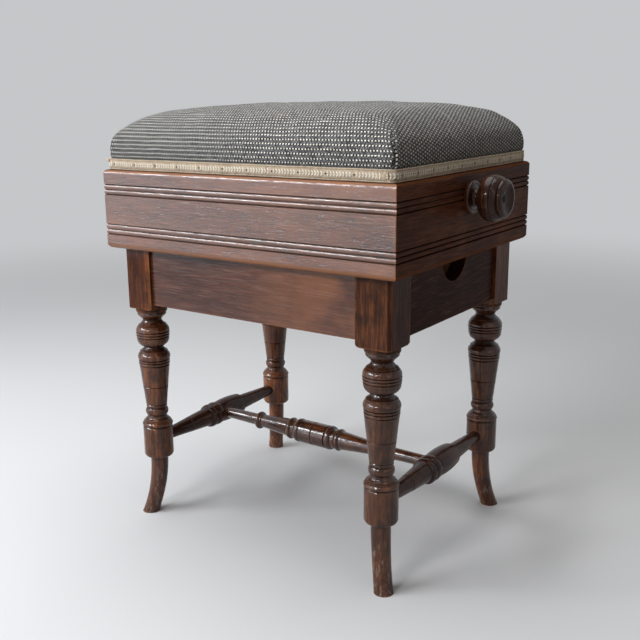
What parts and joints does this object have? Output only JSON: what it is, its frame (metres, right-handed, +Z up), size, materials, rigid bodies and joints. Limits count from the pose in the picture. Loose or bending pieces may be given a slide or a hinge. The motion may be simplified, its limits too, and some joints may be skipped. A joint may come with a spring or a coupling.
{
  "type": "adjustable piano stool",
  "caption": "Adjustable piano stool: padded seat on a reeded box that rises over a turned four-leg frame, wound up and down by side knobs on a screw.",
  "frame": {"origin": "on the floor under the middle of the seat, at the middle of the object's box", "axes": "+X towards one knob, +Y from the front face to the rear face, +Z up; the seat is at the height that the picture shows"},
  "size_m": [0.483, 0.318, 0.5145],
  "materials": {
    "polished_wood": "french polished dark mahogany",
    "ebonised_wood": "dark, high gloss",
    "pine": "bare, aged",
    "wrought_iron": "black, dull",
    "steel": "aged",
    "gunmetal": "dull",
    "stuffing": "horsehair and wadding under calico",
    "seat_cloth": "woven, charcoal with small cream dashes",
    "gimp": "straw-coloured braid",
    "tack_iron": "dark blued"
  },
  "bodies": {
    "lower_frame": {"leg_front_left": "polished_wood", "leg_front_right": "polished_wood", "leg_rear_left": "polished_wood", "leg_rear_right": "polished_wood", "rail_front": "polished_wood", "rail_rear": "polished_wood", "rail_left": "polished_wood", "rail_right": "polished_wood", "stretcher_left": "polished_wood", "stretcher_right": "polished_wood", "stretcher_middle": "polished_wood", "bearer_left": "pine", "bearer_right": "pine", "bracket_left": "wrought_iron", "bracket_right": "wrought_iron", "pivot_rod_left": "steel", "pivot_rod_right": "steel", "bracket_screws": "steel", "pivot_washers": "steel"},
    "seat_box": {"box_front": "polished_wood", "box_rear": "polished_wood", "box_left": "polished_wood", "box_right": "polished_wood", "seat_cleats": "pine", "seat_board": "pine", "seat_screws": "steel", "cushion_stuffing": "stuffing", "cushion_cover": "seat_cloth", "gimp_braid": "gimp", "gimp_tacks": "tack_iron", "bearing_plate_left": "wrought_iron", "bearing_plate_right": "wrought_iron", "bearing_plate_screws": "steel", "rosette_left": "ebonised_wood", "rosette_right": "ebonised_wood"},
    "screw": {"screw_shaft": "steel", "thrust_collars": "steel", "collar_screws": "steel", "knob_left": "ebonised_wood", "knob_right": "ebonised_wood", "knob_buttons": "ebonised_wood"},
    "left_nut": {"nut_left": "gunmetal", "nut_washers_left": "steel"},
    "right_nut": {"nut_right": "gunmetal", "nut_washers_right": "steel"},
    "left_arms": {"arm_front_from_left": "wrought_iron", "arm_rear_from_left": "wrought_iron"},
    "right_arms": {"arm_front_from_right": "wrought_iron", "arm_rear_from_right": "wrought_iron"}
  },
  "joints": [
    {"name": "seat_rise", "type": "slide", "parent": "lower_frame", "child": "seat_box", "axis": [0, 0, 1], "range_m": [-0.05, 0.013]},
    {"name": "screw_turn", "type": "hinge", "parent": "seat_box", "child": "screw", "pos_m": [0, 0, 0.4144], "axis": [1, 0, 0], "range_deg": [-513.96, 1973.93]},
    {"name": "right_nut_slide", "type": "slide", "parent": "seat_box", "child": "right_nut", "axis": [1, 0, 0], "range_m": [-0.0058, 0.022]},
    {"name": "left_nut_slide", "type": "slide", "parent": "seat_box", "child": "left_nut", "axis": [1, 0, 0], "range_m": [-0.022, 0.0058]},
    {"name": "left_arms_swing", "type": "hinge", "parent": "lower_frame", "child": "left_arms", "pos_m": [-0.07, 0, 0.316], "axis": [0, -1, 0], "range_deg": [-15.7, 4.2]},
    {"name": "right_arms_swing", "type": "hinge", "parent": "lower_frame", "child": "right_arms", "pos_m": [0.07, 0, 0.316], "axis": [0, 1, 0], "range_deg": [-15.7, 4.2]}
  ],
  "couplings": [
    {"joint": "screw_turn", "follows": "seat_rise", "rad_per_m": -688.68},
    {"joint": "right_nut_slide", "follows": "seat_rise", "ratio": -0.43843},
    {"joint": "left_nut_slide", "follows": "seat_rise", "ratio": 0.43843},
    {"joint": "left_arms_swing", "follows": "seat_rise", "rad_per_m": 5.4324},
    {"joint": "right_arms_swing", "follows": "seat_rise", "rad_per_m": 5.4324}
  ]
}
